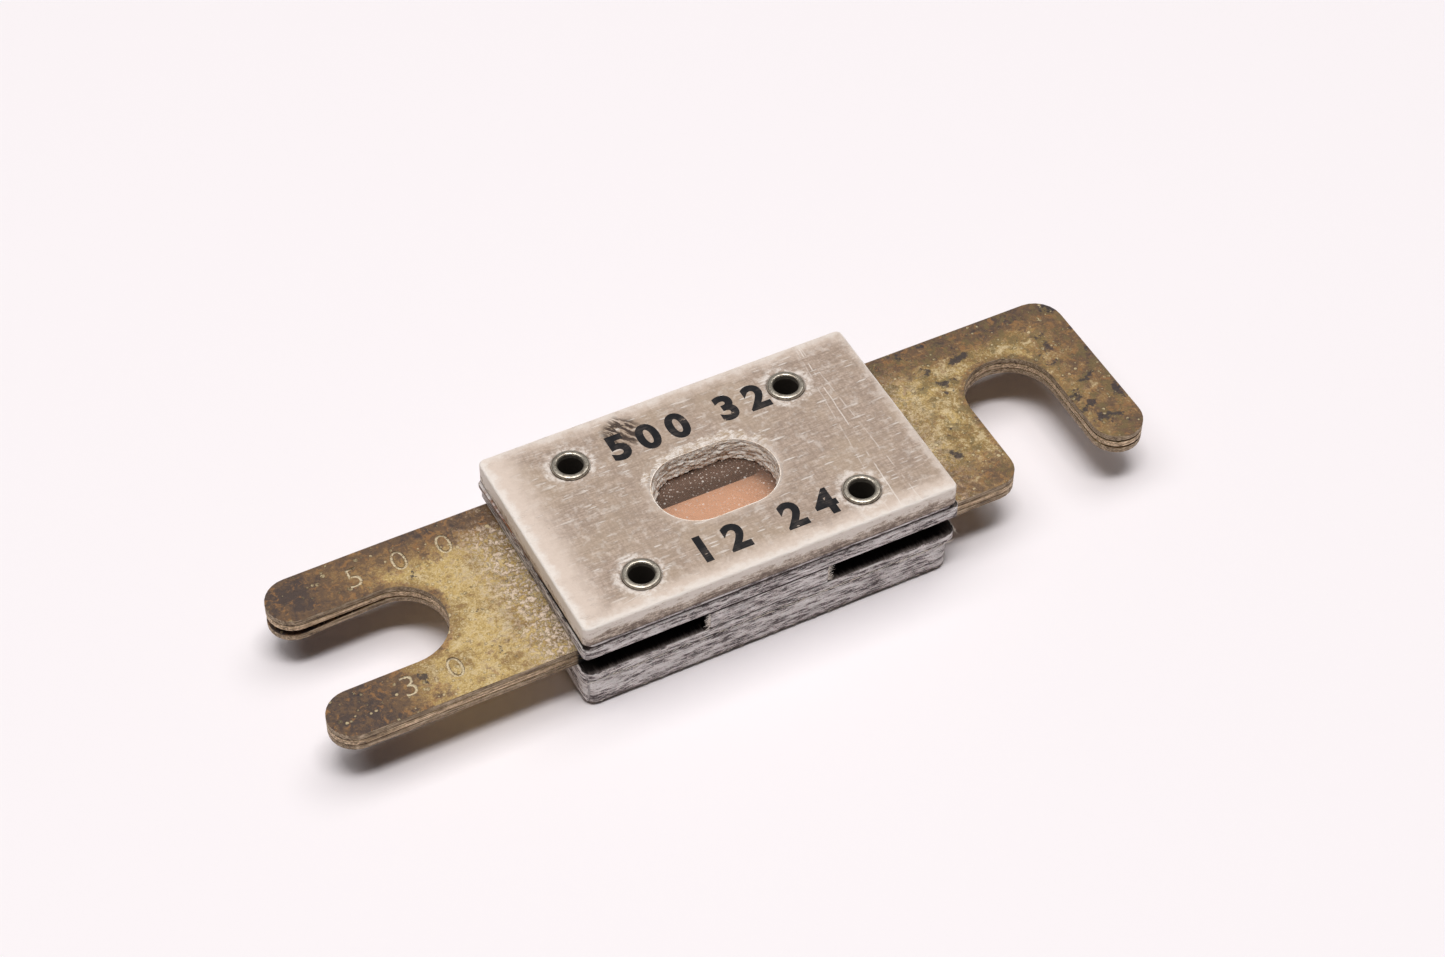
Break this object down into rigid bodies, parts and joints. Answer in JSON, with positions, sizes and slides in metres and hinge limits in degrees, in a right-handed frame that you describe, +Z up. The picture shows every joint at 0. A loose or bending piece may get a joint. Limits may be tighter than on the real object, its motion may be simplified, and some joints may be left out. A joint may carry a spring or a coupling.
{
  "type": "bolt-down strip fuse",
  "caption": "Flat high-current fuse: slotted metal strips riveted between fibre boards, with a small window over the neck.",
  "frame": {"origin": "middle of the footprint, at the level of the rivets' rolled feet", "axes": "+X along the strips towards the hooked end, +Y to the back (the hook opens to -Y), +Z up through the sandwich, window on top"},
  "size_m": [0.081, 0.022, 0.011],
  "materials": {
    "pale_board": "woven laminate, worn matte",
    "grey_board": "sawn laminate edge, matte",
    "clear_sheet": "thin dusty clear sheet",
    "strip_metal": "tarnished, blotched",
    "rivet_plating": "bright plated"
  },
  "bodies": {
    "root": {"top_plate": "pale_board", "window_sheet": "clear_sheet", "upper_inner_plate": "grey_board", "strip_top": "strip_metal", "strip_middle": "strip_metal", "strip_bottom": "strip_metal", "spacer_front": "grey_board", "spacer_back": "grey_board", "lower_inner_plate": "grey_board", "bottom_plate": "grey_board", "rivet_front_left": "rivet_plating", "rivet_front_right": "rivet_plating", "rivet_back_left": "rivet_plating", "rivet_back_right": "rivet_plating"}
  },
  "joints": []
}
